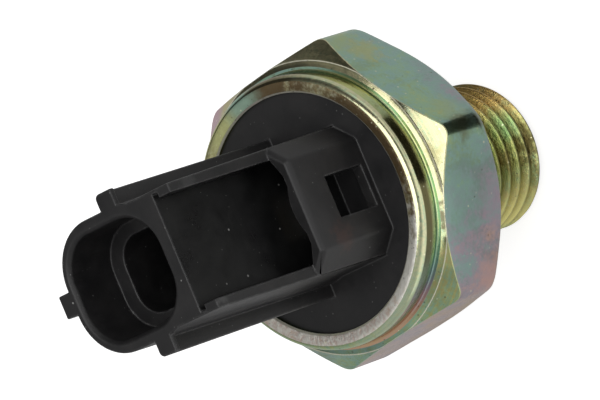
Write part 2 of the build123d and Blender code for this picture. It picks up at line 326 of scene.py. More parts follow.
def startMaterial(name):  # with the place on the object in millimetres
    material, tree = emptyMaterial(name)
    shader = addNode(tree, "ShaderNodeBsdfPrincipled")
    endMaterial(tree, shader)
    place = addNode(tree, "ShaderNodeVectorMath", {
        0: addNode(tree, "ShaderNodeTexCoord").outputs["Object"], "Scale": 1 / mm}, operation="SCALE").outputs[0]
    return material, tree, shader.inputs, place


def driftOf(tree, place, start, end):
    return useGroup(tree, drift, Place=place, From=start, To=end)["Share"]


def addPatches(tree, place, colour, look):
    for middle, reach, fray, amount, tone in look["patches"]:
        mask = useGroup(tree, patch, Place=place, Middle=middle, Reach=reach, Fray=fray)["Mask"]
        colour = mixColours(tree, times(tree, mask, amount), colour, (*tone, 1))
    return colour


def roughnessOf(tree, value, look):
    down, up = look["roughVary"]
    return spread(tree, value, *noiseSpan, look["rough"] + down, look["rough"] + up)


def setBump(tree, shader, height, look):
    bump = addNode(tree, "ShaderNodeBump", {
        "Height": height, "Strength": look["bump"], "Distance": look["bumpHeight"] * mm})
    tree.links.new(bump.outputs[0], shader["Normal"])


def platingFilm(tree, place, height, clouds, lines, look):  # the film's thickness gives its colour
    film = look["film"]
    for value, amount in ((clouds["Film"], look["filmClouds"]), (clouds["Mottle"], look["filmMottle"]),
                          (lines, look["filmLines"]), (clouds["Blotch"], look["filmBlotch"])):
        film = mathNode(tree, "MULTIPLY_ADD", mathNode(tree, "SUBTRACT", value, 0.5), amount, film)
    start, end, amount = look["filmDrift"]
    film = mathNode(tree, "MULTIPLY_ADD", driftOf(tree, place, start, end), amount, film)
    bottom, top, amount = look["filmRise"]
    film = mathNode(tree, "MULTIPLY_ADD", spread(tree, height, bottom, top), amount, film)
    return useGroup(tree, filmTint, Thickness=film)["Color"]


# stain from the film's clouds, and on the wall a band of painted shade under the rolled shoulder
def platingStainAndShade(tree, place, height, clouds, look):
    stainAndShade = spread(tree, mathNode(tree, "MULTIPLY_ADD", clouds["Blush"], 0.6, times(tree, clouds["Mottle"], 0.4)),
                   *look["stainSpan"])
    start, end, amount = look["stainAndShadeDrift"]
    amount = mathNode(tree, "MULTIPLY_ADD", driftOf(tree, place, start, end), amount, look["stainAndShadeAmount"])
    if "shadeBand" in look:  # painted shade: a dark band on the wall under the rolled shoulder
        bottom, full, top = look["shadeBand"]
        shadeBand = times(tree, spread(tree, height, bottom, full), spread(tree, height, top, top - look["shadeBandFade"]))
        shadeBand = times(tree, shadeBand, driftOf(tree, place, *look["shadeBandDrift"]))
        stainAndShade = mathNode(tree, "MAXIMUM", stainAndShade, shadeBand)
    return times(tree, stainAndShade, amount)


def platedMetal(name, look):  # yellow passivated zinc over turned or drawn steel
    material, tree, shader, place = startMaterial(name)
    clouds = useGroup(tree, platingClouds, Place=place, Size=look["cloudSize"], Stretch=look["stretch"])
    lines = useGroup(tree, look["lines"], Place=place, Fineness=look["fineness"])["Height"]
    radius, _, height = roundZ(tree, place)
    colour = platingFilm(tree, place, height, clouds, lines, look)
    colour = mixColours(tree, platingStainAndShade(tree, place, height, clouds, look), colour, (*look["stainAndShade"], 1))
    if "pale" in look:  # where the film is rubbed thin
        start, end, amount, pale = look["pale"]
        uneven = mathNode(tree, "MULTIPLY_ADD", clouds["Mottle"], 0.6, times(tree, lines, 0.4))
        uneven = spread(tree, uneven, *look["paleSpan"], amount - look["paleDepth"], amount)
        colour = mixColours(tree, times(tree, driftOf(tree, place, start, end), uneven), colour, (*pale, 1))
    colour = addPatches(tree, place, colour, look)
    # pale edges: worn plating, and partly a painted highlight along the edges
    edgeWearAndHighlight = useGroup(tree, edgeMask, Reach=look["edgeReach"] * mm, Gain=look["edgeGain"])["Mask"]
    edgeWearAndHighlight = times(tree, edgeWearAndHighlight, spread(tree, clouds["Mottle"], *look["edgeSpan"]))
    colour = mixColours(tree, times(tree, edgeWearAndHighlight, look["edgeWearAndHighlightAmount"]), colour, (*look["edge"], 1))
    pits = useGroup(tree, specks, Place=place, Density=look["pitDensity"], Grain=look["pitGrain"],
                    Share=look["pitShare"])["Mask"]
    colour = mixColours(tree, times(tree, pits, look["pitAmount"]), colour, (*look["pit"], 1))
    glints = useGroup(tree, specks, Place=vectorNode(tree, "ADD", place, look["glintAside"])[0],
                      Density=look["glintDensity"], Grain=look["glintGrain"], Share=look["glintShare"])["Mask"]
    colour = mixColours(tree, times(tree, glints, look["glintAmount"]), colour, (*look["glint"], 1))
    if "valleyShade" in look:  # painted shade between the thread's ridges, darker towards the root
        deep, shallow, amount = look["valleyShade"]
        paintedShade = times(tree, spread(tree, radius, shallow, deep), amount)
        colour = mixColours(tree, paintedShade, colour, (*look["stainAndShade"], 1))
    tree.links.new(colour, shader["Base Color"])
    shader["Metallic"].default_value = look["metal"]
    tree.links.new(roughnessOf(tree, clouds["Mottle"], look), shader["Roughness"])
    relief = mathNode(tree, "ADD", times(tree, lines, look["lineDepth"]),
                      times(tree, clouds["Mottle"], look["mottleDepth"]))
    setBump(tree, shader, mathNode(tree, "SUBTRACT", relief, times(tree, pits, look["pitDepth"])), look)
    return material


def mouldedPlastic(name, look):  # black glass filled moulding, a little dusty
    material, tree, shader, place = startMaterial(name)
    broad, fine, scuffs = (noiseOf(tree, place, **look[k]) for k in ("broad", "fine", "scuffs"))
    colour = rampOf(tree, spread(tree, broad, *noiseSpan), look["shades"])
    # pale grey edges: worn moulding, and partly a painted highlight along the edges
    edgeWearAndHighlight = useGroup(tree, edgeMask, Reach=look["edgeWearAndHighlightReach"] * mm, Gain=look["edgeWearAndHighlightGain"])["Mask"]
    broken = times(tree, spread(tree, fine, *look["fineSpan"]), spread(tree, scuffs, *look["scuffSpan"]))
    edgeWearAndHighlight = times(tree, edgeWearAndHighlight, times(tree, broken, look["edgeWearAndHighlight"]))
    colour = mixColours(tree, edgeWearAndHighlight, colour, (*look["wornAndHighlitEdge"], 1))
    dust = useGroup(tree, specks, Place=place, **look["dustSpecks"])["Mask"]
    motes = useGroup(tree, specks, Place=place, **look["motes"])["Mask"]
    dirt = times(tree, mathNode(tree, "MAXIMUM", dust, times(tree, motes, look["moteAmount"])), look["dust"])
    colour = mixColours(tree, dirt, colour, (*look["dustColour"], 1))
    colour = addPatches(tree, place, colour, look)
    tree.links.new(colour, shader["Base Color"])
    shader["Specular IOR Level"].default_value = look["gloss"]
    shader["IOR"].default_value = look["ior"]
    rough = mathNode(tree, "ADD", roughnessOf(tree, broad, look), times(tree, dirt, look["dustRough"]))
    tree.links.new(rough, shader["Roughness"])
    setBump(tree, shader, mathNode(tree, "ADD", fine, times(tree, broad, look["broadDepth"])), look)
    return material


def innerMaterial(name, look):  # the switch's metals, film, rubber and pale plastic
    look = {**innerShared, **look}
    material, tree, shader, place = startMaterial(name)
    tone = noiseOf(tree, place, look["scale"], look["detail"], look["toneRoughness"])
    colour = rampOf(tree, spread(tree, tone, *noiseSpan), look["shades"])
    lines = useGroup(tree, turnedLines, Place=place, Fineness=look["fineness"])["Height"]
    share = times(tree, spread(tree, lines, *look["lineSpan"]), look["lineTint"])
    colour = mixColours(tree, share, colour, (*look["shades"][0][1], 1))
    tree.links.new(colour, shader["Base Color"])
    shader["Metallic"].default_value = look["metal"]
    tree.links.new(roughnessOf(tree, tone, look), shader["Roughness"])
    setBump(tree, shader, mathNode(tree, "ADD", times(tree, lines, look["lineDepth"]), tone), look)
    return material


def meshObject(name, mesh, sharpAngle=30):
    data = bpy.data.meshes.new(name)
    mesh.to_mesh(data)
    mesh.free()
    data.shade_smooth()
    data.set_sharp_from_angle(angle=radians(sharpAngle))
    made = bpy.data.objects.new(name, data)
    bpy.context.collection.objects.link(made)
    return made


# Hexagon body: radii, heights and angles of the turned and hexagonal parts
body = {
    "flats": 26.7, "turn": 6.8, "corner": 1.5, "height": 8.85, "seat": 13.0, "seatCone": 42.0,
    "recess": (7.5, 0.3), "topFace": 12.95, "topCone": 38.0,
    "steps": ((13.43, 8.62), (13.51, 8.62), (13.57, 8.54)), "stepGap": 0.02,  # radius and height, least spacing
    "collar": 12.6, "rimTop": 11.3, "shoulder": 0.84,
    "bend": 0.586,  # share of the shoulder at which two corners of 45 degrees make its quarter round
    "lip": 11.0, "lipFlat": 12.1, "lipEdge": 0.18, "lipFall": 0.15, "lipDepth": 0.2, "lipMargin": 0.01,
    "lipUnder": 10.65, "bore": 11.7, "floor": 2.4, "seal": (7.0, 8.6, 1.4),
    "chamber": 5.5, "chamberFloor": 1.6, "port": 2.0, "portMouth": 0.5, "relief": 5.9, "reliefEnd": -1.8,
    "end": -15.5, "endRadius": 6.05,
    "major": 7.0, "root": 6.08, "pitch": 1.5, "crest": 1 / 16, "flank": 30.0,  # the thread
    "threadBlur": 0.035, "threadSpare": 2,  # share of a pitch, and turns made beyond each end
    "rounds": {"root": 0.25, "recess": 0.1, "recessRim": 0.08, "seat": 0.12, "seatCone": 1.6, "topCone": 0.16,
               "face": 0.05, "collar": 0.12, "lip": 0.05},
    "flatSteps": 22, "cornerSteps": 5, "arcSteps": 4, "threadSteps": 20,
    "sharp": 28, "weld": 0.0005,
    "zones": ("flats", "cone", "turned", "rim", "thread", "lip", "wall", "edge"),
}


def columnAngles():  # one sixth repeated, with a column at each end of the rounded corners
    half = body["flats"] / 2
    edge = degrees(atan((half - body["corner"]) * tan(radians(30)) / half))
    flat = [-edge + 2 * edge * i / body["flatSteps"] for i in range(body["flatSteps"])]
    corner = [edge + (60 - 2 * edge) * i / body["cornerSteps"] for i in range(body["cornerSteps"])]
    return [radians(body["turn"] + 60 * k + a) for k in range(6) for a in flat + corner]


def hexRadius(angle):
    half, corner = body["flats"] / 2, body["corner"]
    off = (degrees(angle) - body["turn"] + 30) % 60 - 30
    if half * tan(radians(abs(off))) <= (half - corner) * tan(radians(30)):
        return half / cos(radians(off))
    middle = (half - corner) / cos(radians(30))
    away = radians(30 - abs(off))
    return middle * cos(away) + sqrt(corner ** 2 - (middle * sin(away)) ** 2)


def roundedProfile(points, steps):  # corners (radius, height, rounding, zone), each rounding as an arc
    made = []
    for i, (r, z, rounding, zone) in enumerate(points):
        here = Vector((r, z))
        if rounding == 0:
            made.append((here, zone))
            continue
        before = Vector(points[i - 1][:2]) - here
        after = Vector(points[i + 1][:2]) - here
        angle = before.angle(after)
        reach = min(rounding / tan(angle / 2), before.length * 0.49, after.length * 0.49)
        radius = reach * tan(angle / 2)
        middle = here + (before.normalized() + after.normalized()).normalized() * (radius / sin(angle / 2))
        first = here + before.normalized() * reach - middle
        last = here + after.normalized() * reach - middle
        swing = first.angle_signed(last)
        for k in range(steps + 1):
            turned = first.copy()
            turned.rotate(Matrix.Rotation(-swing * k / steps, 2))
            made.append((middle + turned, zone))
    return made


def coneHeight(r):  # upper cone, with the small steps that the tool left near its inner edge
    points = ((body["topFace"], body["height"]), *body["steps"])
    for (fromR, fromZ), (toR, toZ) in zip(points, points[1:]):
        if r < toR:
            return fromZ + (r - fromR) / (toR - fromR) * (toZ - fromZ)
    lastR, lastZ = points[-1]
    return lastZ - (r - lastR) * tan(radians(body["topCone"]))


def bodyProfile(angle):
    b, rounds = body, body["rounds"]
    wide = hexRadius(angle)
    seatEdge = (wide - b["seat"]) * tan(radians(b["seatCone"]))
    topEdge = coneHeight(wide)
    stepRadii = [min(r, wide - b["stepGap"] * (len(b["steps"]) - i)) for i, (r, _) in enumerate(b["steps"])]
    sealIn, sealOut, sealFloor = b["seal"]
    recess, recessFloor = b["recess"]
    bend = b["shoulder"] * b["bend"]
    made = roundedProfile([
        (b["relief"], b["reliefEnd"], 0, "turned"),
        (b["relief"], recessFloor, rounds["root"], "turned"),
        (recess, recessFloor, rounds["recess"], "turned"),
        (recess, 0, rounds["recessRim"], "turned"),
        (b["seat"], 0, rounds["seat"], "cone"),
        (wide, seatEdge, rounds["seatCone"], "flats"),
        (wide, topEdge, rounds["topCone"], "cone"),
        # the middle step takes the edge zone, a painted highlight line
        *((r, coneHeight(r), 0, zone) for r, zone in zip(reversed(stepRadii), ("cone", "edge", "cone"))),
        (b["topFace"], b["height"], rounds["face"], "turned"),
        (b["collar"], b["height"], rounds["collar"], "wall"),
        (b["collar"], b["rimTop"] - bend, b["shoulder"], "rim"),
        (b["collar"] - bend, b["rimTop"], b["shoulder"], "rim"),
        (b["lip"] + b["lipEdge"], b["rimTop"] - b["lipFall"], rounds["lip"], "rim"),
        (b["lip"], b["rimTop"] - b["lipFall"] - b["lipEdge"], rounds["lip"], "rim"),
        (b["lip"], b["lipUnder"], 0, "turned"),
        (b["bore"], b["lipUnder"], 0, "turned"),
        (b["bore"], b["floor"], 0, "turned"),
        (sealOut, b["floor"], 0, "turned"),
        (sealOut, sealFloor, 0, "turned"),
        (sealIn, sealFloor, 0, "turned"),
        (sealIn, b["floor"], 0, "turned"),
        (b["chamber"], b["floor"], 0, "turned"),
        (b["chamber"], b["chamberFloor"], 0, "turned"),
        (b["port"], b["chamberFloor"], 0, "turned"),
        (b["port"], b["end"] + b["portMouth"], 0, "turned"),
        (b["port"] + b["portMouth"], b["end"], 0, "turned"),
        (b["endRadius"], b["end"], 0, "turned"),
    ], b["arcSteps"])
    # the lip's inner rounding takes the edge zone, a painted highlight line
    lipFrom = b["rimTop"] - b["lipDepth"]
    edge = b["lip"] + b["lipEdge"] - b["lipMargin"]
    return [(p, zone if p.y < lipFrom or p.x > b["lipFlat"] else "lip" if p.x > edge else "edge")
            for p, zone in made]


def threadRow(share):  # radius at a share of one pitch, from the middle of one crest to the next
    b = body
    crest = b["pitch"] * b["crest"]
    slope = tan(radians(b["flank"]))
    flank = (b["major"] - b["root"]) * slope
    along = min(share, 1 - share) * b["pitch"]
    if along < crest:
        return b["major"]
    if along > crest + flank:
        return b["root"]
    return b["major"] - (along - crest) / slope


def threadRadius(share):  # the cutter's profile, softened at crest and root
    return sum(threadRow((share + body["threadBlur"] * k / 2) % 1) for k in (-2, -1, 0, 1, 2)) / 5


def threadPoint(angle, height, share):
    b = body
    z = min(max(height, b["end"]), b["reliefEnd"])
    endCone = b["endRadius"] + (z - b["end"])
    reliefCone = b["relief"] + (b["reliefEnd"] - z)
    r = min(threadRadius(share), endCone, reliefCone)
    return Vector((r * cos(angle), r * sin(angle), z)) * mm


def buildBody():
    angles = columnAngles()
    columns = len(angles)
    mesh = bmesh.new()
    zones = body["zones"]
    grid = []
    for angle in angles:
        profile = bodyProfile(angle)
        grid.append([mesh.verts.new(Vector((p.x * cos(angle), p.x * sin(angle), p.y)) * mm) for p, _ in profile])
    rowZones = [zones.index(zone) for _, zone in bodyProfile(angles[0])]
    for i in range(columns):
        here, there = grid[i], grid[(i + 1) % columns]
        for j in range(len(here) - 1):
            face = mesh.faces.new((here[j], there[j], there[j + 1], here[j + 1]))
            face.material_index = rowZones[j]
    pitch, steps, spare = body["pitch"], body["threadSteps"], body["threadSpare"]
    turns = int((body["reliefEnd"] - body["end"]) / pitch) + 2 * spare
    rows = turns * steps + 1
    thread = []
    for angle in angles:
        lift = pitch * (angle - angles[0]) / (2 * pi) + body["end"] - spare * pitch
        thread.append([mesh.verts.new(threadPoint(angle, lift + pitch * j / steps, (j / steps) % 1))
                       for j in range(rows)])
    for i in range(columns):
        shift = steps if i == columns - 1 else 0
        there = thread[(i + 1) % columns]
        for j in range(rows - 1 - shift):
            face = mesh.faces.new((thread[i][j], there[j + shift], there[j + 1 + shift], thread[i][j + 1]))
            face.material_index = zones.index("thread")
    bmesh.ops.remove_doubles(mesh, verts=mesh.verts, dist=body["weld"] * mm)
    bmesh.ops.recalc_face_normals(mesh, faces=mesh.faces)
    openEdges = sum(not edge.is_manifold for edge in mesh.edges)
    print("body faces", len(mesh.faces), "open edges", openEdges)
    return meshObject("body_plated", mesh, body["sharp"])


platingShared = {  # what the zones share where they name nothing else
    "stretch": 1.0, "patches": (), "metal": 1.0, "roughVary": (-0.05, 0.08), "bumpHeight": 0.05,
    "edgeReach": 0.2, "edgeGain": 8.0, "edgeSpan": (0.36, 0.56),
    "pit": (0.07, 0.05, 0.03), "pitGrain": 0.2, "pitAmount": 0.7, "pitDepth": 0.5,
    "glint": (0.92, 0.88, 0.62), "glintGrain": 0.22, "glintAmount": 0.7, "glintAside": (9, 4, 7),
    "paleSpan": (0.42, 0.56), "paleDepth": 0.55, "shadeBandDrift": (-10.5, -7.5), "shadeBandFade": 0.15,
}
bodyLooks = {  # a zone each; patches give middle, reach, fray, amount and colour
    "flats": {
        "lines": drawnLines, "fineness": 2.2, "cloudSize": 0.16, "stretch": 0.7,
        "film": 0.61, "filmClouds": 0.50, "filmMottle": 0.34, "filmLines": 0.12, "filmBlotch": 0.44,
        "filmDrift": (-6.0, 11.0, -0.37), "filmRise": (0.5, 6.0, 0.13),
        "patches": (
            ((11.5, -8.1, 4.6), 2.3, 0.8, 0.7, (0.49, 0.50, 0.22)),
            ((12.9, -7.0, 6.0), 3.4, 0.5, 0.55, (0.42, 0.48, 0.25)),
            ((3.6, -13.8, 4.5), 2.6, 0.5, 0.6, (0.42, 0.50, 0.26)),
            ((-11.6, -9.5, 2.6), 2.9, 0.5, 0.7, (0.66, 0.42, 0.38)),
            ((-5.0, -12.4, 1.4), 3.0, 0.8, 0.5, (0.46, 0.37, 0.44)),
            ((-3.5, -13.4, 4.6), 6.0, 0.3, 0.16, (0.14, 0.18, 0.15)),
            # painted dark reflection along the rounded corner between two flats
            ((1.8, -15.0, 2.0), 1.7, 0.7, 0.7, (0.17, 0.14, 0.08)),
            ((1.8, -15.0, 4.8), 1.8, 0.7, 0.6, (0.17, 0.15, 0.08)),
        ),
        "stainAndShade": (0.16, 0.17, 0.11), "stainSpan": (0.52, 0.62), "stainAndShadeAmount": 0.25, "stainAndShadeDrift": (-8, 8, 0.0),
        "edge": (0.92, 0.88, 0.66), "edgeReach": 0.22, "edgeWearAndHighlightAmount": 0.8,
        "pitDensity": 2.0, "pitShare": 0.05, "glintDensity": 2.3, "glintShare": 0.12,
        "rough": 0.20, "lineDepth": 0.5, "mottleDepth": 1.2, "bump": 0.22,
    },
    "cone": {
        "lines": turnedLines, "fineness": 4.5, "cloudSize": 0.16,
        "film": 0.85, "filmClouds": 0.30, "filmMottle": 0.45, "filmLines": 0.35, "filmBlotch": 0.2,
        "filmDrift": (6.0, 13.0, -0.1), "filmRise": (6.0, 8.85, 0.0),
        "pale": (4.5, -2.5, 0.9, (0.74, 0.70, 0.42)),
        "patches": (
            ((12.6, -1.5, 8.3), 5.5, 0.4, 0.6, (0.24, 0.21, 0.14)),
            ((11.9, 9.2, 7.6), 5.0, 0.4, 0.9, (0.66, 0.40, 0.48)),
            ((11.6, 6.4, 8.5), 2.0, 0.5, 0.8, (0.62, 0.60, 0.24)),
            ((-5.6, -12.3, 8.6), 2.6, 1.0, 0.85, (0.10, 0.085, 0.05)),
            ((0.2, -13.4, 8.4), 1.3, 0.9, 0.6, (0.40, 0.36, 0.16)),
        ),
        "stainAndShade": (0.13, 0.09, 0.045), "stainSpan": (0.42, 0.60), "stainAndShadeAmount": 0.9, "stainAndShadeDrift": (-13.0, -7.0, -0.5),
        "edge": (0.92, 0.88, 0.66), "edgeReach": 0.22, "edgeWearAndHighlightAmount": 0.8,
        "pitDensity": 2.2, "pitShare": 0.3, "glintDensity": 2.0, "glintShare": 0.12,
        "rough": 0.15, "lineDepth": 0.9, "mottleDepth": 0.6, "bump": 0.2,
    },
    "turned": {
        "lines": turnedLines, "fineness": 5.0, "cloudSize": 0.15,
        "film": 0.72, "filmClouds": 0.25, "filmMottle": 0.12, "filmLines": 0.2, "filmBlotch": 0.1,
        "filmDrift": (2.0, 10.0, -0.46), "filmRise": (-2.0, 8.0, 0.0),
        "stainAndShade": (0.15, 0.15, 0.10), "stainSpan": (0.52, 0.64), "stainAndShadeAmount": 0.8, "stainAndShadeDrift": (3.0, 9.0, -0.7),
        "edge": (0.92, 0.90, 0.74), "edgeWearAndHighlightAmount": 0.7,
        "pitDensity": 2.0, "pitShare": 0.15, "glintDensity": 1.6, "glintShare": 0.08,
        "rough": 0.14, "lineDepth": 0.9, "mottleDepth": 0.4, "bump": 0.18,
    },
    "lip": {
        "lines": crimpLines, "fineness": 3.0, "cloudSize": 0.14,
        "film": 0.10, "filmClouds": 0.20, "filmMottle": 0.6, "filmLines": 0.3, "filmBlotch": 0.2,
        "filmDrift": (2.0, 10.0, 0.30), "filmRise": (8.9, 11.3, 0.0),
        "stainAndShade": (0.15, 0.10, 0.048), "stainSpan": (0.36, 0.52), "stainAndShadeAmount": 0.95, "stainAndShadeDrift": (-1.0, 5.5, -0.8),
        "edge": (0.94, 0.92, 0.84), "edgeReach": 0.12, "edgeGain": 6.0, "edgeWearAndHighlightAmount": 0.5,
        "pitDensity": 2.8, "pitShare": 0.4, "glintDensity": 2.4, "glintShare": 0.3,
        "pale": (0.5, 6.0, 0.9, (0.92, 0.90, 0.80)),
        "patches": (
            ((10.6, 5.8, 11.2), 4.6, 0.3, 0.95, (0.64, 0.66, 0.30)),
            ((11.8, 2.2, 11.2), 3.1, 0.25, 0.9, (0.38, 0.56, 0.44)),
            ((-7.6, -8.6, 11.2), 7.5, 0.9, 0.85, (1.0, 0.98, 0.90)),
        ),
        "metal": 0.75, "rough": 0.36, "lineDepth": 2.0, "mottleDepth": 2.4, "bump": 0.6,
    },
    "wall": {
        "lines": turnedLines, "fineness": 4.0, "cloudSize": 0.14,
        "film": 0.88, "filmClouds": 0.20, "filmMottle": 0.12, "filmLines": 0.2, "filmBlotch": 0.1,
        "filmDrift": (0.0, 12.0, -0.64), "filmRise": (8.9, 9.6, 0.0),
        "stainAndShade": (0.13, 0.10, 0.05), "stainSpan": (0.60, 0.75), "stainAndShadeAmount": 0.85, "stainAndShadeDrift": (3.0, 8.0, -0.75),
        # painted shade band under the rolled shoulder: height where it starts, is full and ends
        "shadeBand": (9.35, 9.7, 10.55),
        "patches": (((9.6, -8.2, 9.6), 4.2, 0.3, 0.85, (0.62, 0.64, 0.24)),),
        "edge": (0.94, 0.92, 0.78), "edgeWearAndHighlightAmount": 0.2,
        "pitDensity": 2.4, "pitShare": 0.2, "glintDensity": 2.2, "glintShare": 0.1,
        "rough": 0.14, "lineDepth": 0.9, "mottleDepth": 0.6, "bump": 0.2,
    },
    "rim": {
        "lines": turnedLines, "fineness": 4.0, "cloudSize": 0.14,
        "film": 0.84, "filmClouds": 0.20, "filmMottle": 0.40, "filmLines": 0.25, "filmBlotch": 0.15,
        "filmDrift": (6.0, 13.0, 0.0), "filmRise": (8.9, 11.3, 0.0),
        "stainAndShade": (0.22, 0.20, 0.12), "stainSpan": (0.50, 0.66), "stainAndShadeAmount": 0.45, "stainAndShadeDrift": (2.0, 9.0, -0.2),
        "pale": (8.5, 2.0, 0.9, (0.76, 0.72, 0.46)),
        "patches": (
            ((12.2, -0.6, 10.9), 7.0, 0.35, 0.9, (0.17, 0.135, 0.07)),
            ((10.2, 7.2, 10.9), 4.8, 0.3, 0.9, (0.66, 0.66, 0.30)),
            ((12.0, 2.9, 10.9), 2.4, 0.4, 0.85, (0.36, 0.58, 0.46)),
            ((-11.0, -4.5, 10.9), 8.5, 0.6, 0.6, (0.60, 0.66, 0.50)),
        ),
        "edge": (0.94, 0.92, 0.78), "edgeWearAndHighlightAmount": 0.6,
        "pitDensity": 2.4, "pitShare": 0.3, "glintDensity": 2.2, "glintShare": 0.15,
        "rough": 0.14, "lineDepth": 0.9, "mottleDepth": 0.6, "bump": 0.2,
    },
    "thread": {
        "lines": turnedLines, "fineness": 6.0, "cloudSize": 0.3,
        "film": 0.93, "filmClouds": 0.30, "filmMottle": 0.5, "filmLines": 0.3, "filmBlotch": 0.3,
        "filmDrift": (-4.0, 6.0, 0.0), "filmRise": (-15.0, -2.0, 0.0),
        "stainAndShade": (0.10, 0.07, 0.02), "stainSpan": (0.52, 0.64), "stainAndShadeAmount": 0.5, "stainAndShadeDrift": (-8.0, 8.0, 0.0),
        "edge": (0.86, 0.82, 0.50), "edgeReach": 0.12, "edgeGain": 5.0, "edgeWearAndHighlightAmount": 0.4,
        "pitDensity": 2.2, "pitShare": 0.45, "glintDensity": 2.6, "glintShare": 0.35,
        # painted shade in the valleys: radius where it is full, radius where it starts, amount
        "valleyShade": (6.15, 6.85, 0.95),
        "patches": (
            ((0.2, -7.0, -9.5), 6.6, 0.4, 0.85, (0.27, 0.30, 0.07)),
            ((5.2, -4.4, -12.0), 6.0, 0.5, 0.9, (0.85, 0.55, 0.17)),
            ((1.4, -6.8, -11.5), 2.8, 0.6, 0.8, (0.26, 0.46, 0.18)),
            ((-1.0, -6.8, -13.6), 2.6, 0.8, 0.85, (0.09, 0.065, 0.02)),
            ((-1.6, -6.6, -9.6), 1.6, 0.8, 0.7, (0.15, 0.09, 0.03)),
            ((-6.4, -2.6, -12.0), 5.2, 0.3, 0.9, (1.0, 0.92, 0.34)),
        ),
        "rough": 0.15, "lineDepth": 0.7, "mottleDepth": 2.4, "bump": 0.45,
    },
}
# edge zone, at the lip's inner edge and the cone's middle step: pale, rough and half metallic, a painted highlight
# line
bodyLooks["edge"] = {
    **bodyLooks["rim"], "patches": (), "film": 0.0, "metal": 0.45, "rough": 0.40,
    "pale": (-20.0, -13.0, 0.7, (0.80, 0.77, 0.70)),
    "stainAndShade": (0.20, 0.19, 0.12), "stainSpan": (0.47, 0.56), "stainAndShadeAmount": 0.8, "stainAndShadeDrift": (2.0, 9.0, -0.1),
}


def dressBody():
    piece = buildBody()
    for zone in body["zones"]:
        piece.data.materials.append(platedMetal("plated_" + zone, {**platingShared, **bodyLooks[zone]}))
    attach(piece, "sender")
    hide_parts("hex_body")


dressBody()
print("body made")


# Connector housing: the moulding with the small radii of its tool
housing = {
    "round": 0.13, "segments": 2, "bendAngle": 24.0, "flatAngle": 0.8, "weld": 0.002,
    "wallTilt": 0.5,  # largest upward part of a wall's normal
    "channel": ((-5.6, -6.0, 20.7), (5.6, -3.3, 34.2)),  # lowest and highest corner of the polished core's space, whose upright faces are smoother and darker as painted shade
}
housingLook = {
    "shades": [(0.0, (0.007, 0.007, 0.0075)), (0.5, (0.011, 0.0105, 0.011)), (1.0, (0.017, 0.016, 0.016))],
    "broad": {"scale": 0.35, "detail": 4.0, "roughness": 0.6}, "broadDepth": 2.0,
    "fine": {"scale": 9.0, "detail": 3.0, "roughness": 0.7}, "fineSpan": (0.38, 0.6),
    "scuffs": {"scale": 0.8, "detail": 3.0, "roughness": 0.6}, "scuffSpan": (0.42, 0.60, 0.3, 1.0),
    "wornAndHighlitEdge": (0.17, 0.17, 0.17), "edgeWearAndHighlight": 0.9, "edgeWearAndHighlightReach": 0.25, "edgeWearAndHighlightGain": 7.0,
    "dust": 0.8, "dustColour": (0.30, 0.30, 0.29), "dustRough": 0.3, "moteAmount": 0.6,
    "dustSpecks": {"Density": 0.75, "Grain": 0.075, "Share": 0.4},
    "motes": {"Density": 2.1, "Grain": 0.11, "Share": 0.3},
    "rough": 0.46, "roughVary": (-0.05, 0.07), "bump": 0.5, "bumpHeight": 0.03, "gloss": 0.5, "ior": 1.5,
    "patches": (  # middle, reach, fray, amount, colour
        ((-3.6, -7.9, 17.4), 1.9, 0.7, 0.55, (0.050, 0.022, 0.016)),
        ((0.4, -7.9, 13.2), 1.0, 0.9, 0.3, (0.05, 0.05, 0.05)),
        ((5.2, -6.1, 31.5), 1.6, 0.9, 0.4, (0.06, 0.06, 0.06)),
        ((-5.1, -6.1, 33.6), 0.9, 0.8, 0.5, (0.09, 0.09, 0.09)),
    ),
}
# inside the channel: smoother and less glossy, with darker shades as painted shade in the recess
channelLook = {
    "shades": [(0.0, (0.005, 0.005, 0.0052)), (0.5, (0.007, 0.007, 0.0072)), (1.0, (0.010, 0.010, 0.010))],
    "rough": 0.30, "bump": 0.25, "gloss": 0.3, "patches": (),
}


def buildHousing():
    mesh = bmesh.new()
    mesh.from_mesh(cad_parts["connector_housing"].data)
    bmesh.ops.remove_doubles(mesh, verts=mesh.verts, dist=housing["weld"] * mm)
    bmesh.ops.dissolve_limit(mesh, angle_limit=radians(housing["flatAngle"]), verts=mesh.verts, edges=mesh.edges)
    low, high = housing["channel"]
    # upright faces inside the channel take the second material, with its painted shade
    for face in mesh.faces:
        middle = face.calc_center_median() / mm
        inside = all(low[i] < middle[i] < high[i] for i in range(3))
        face.material_index = int(inside and abs(face.normal.z) < housing["wallTilt"])
    piece = meshObject("housing_moulded", mesh)
    bevel = piece.modifiers.new("toolRadius", "BEVEL")
    bevel.width = housing["round"] * mm
    bevel.segments = housing["segments"]
    bevel.limit_method = "ANGLE"
    bevel.angle_limit = radians(housing["bendAngle"])
    bevel.use_clamp_overlap = False
    bevel.harden_normals = True
    return piece


def dressHousing():
    piece = buildHousing()
    piece.data.materials.append(mouldedPlastic("black_plastic", housingLook))
    piece.data.materials.append(mouldedPlastic("black_plastic_polished_and_shaded", {**housingLook, **channelLook}))
    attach(piece, "sender")
    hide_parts("connector_housing")


dressHousing()
print("housing made")


